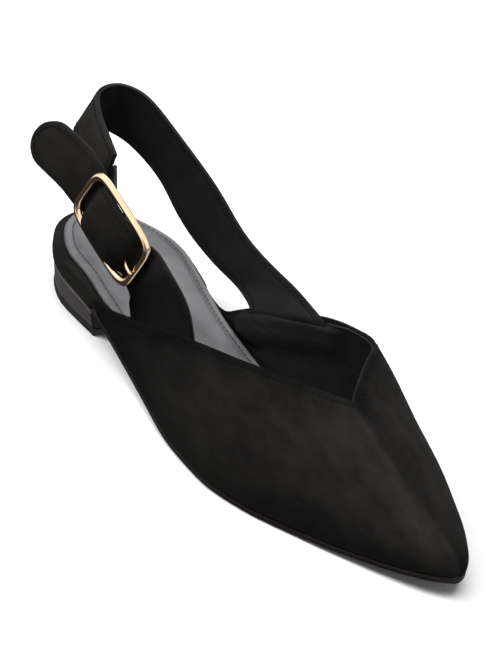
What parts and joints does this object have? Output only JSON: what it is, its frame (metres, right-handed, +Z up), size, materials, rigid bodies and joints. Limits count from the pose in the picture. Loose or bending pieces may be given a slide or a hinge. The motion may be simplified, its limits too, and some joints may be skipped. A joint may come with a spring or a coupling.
{
  "type": "pointed slingback flat shoe",
  "caption": "Right-foot pointed slingback flat with a V-cut suede vamp, a buckled heel strap, a lined seat and a low block heel.",
  "frame": {"origin": "centre of the shoe's box on the floor it stands on", "axes": "+X from the heel to the toe, +Y to the inner (medial) side of this right shoe, +Z up"},
  "size_m": [0.2761, 0.0872, 0.0871],
  "materials": {
    "vamp_suede": "matt black suede",
    "seat_suede": "matt black suede wrapped over the board",
    "sock_leather": "smooth grey lining leather with a soft sheen",
    "sole_leather": "dark brown sole leather",
    "heel_leather": "smooth black-brown covering leather",
    "top_piece_rubber": "matt black rubber",
    "sling_suede": "matt black suede with a leather lining",
    "buckle_strap_suede": "matt black suede with a leather lining",
    "loop_elastic": "black woven elastic",
    "pale_gold": "polished pale gold plating"
  },
  "bodies": {
    "root": {"vamp": "vamp_suede", "insole": "seat_suede", "sock": "sock_leather", "outsole": "sole_leather", "heel": "heel_leather", "heel_top_piece": "top_piece_rubber", "sling_strap": "sling_suede", "buckle_strap": "buckle_strap_suede", "elastic_loop": "loop_elastic", "buckle_frame": "pale_gold", "buckle_prong": "pale_gold"}
  },
  "joints": []
}
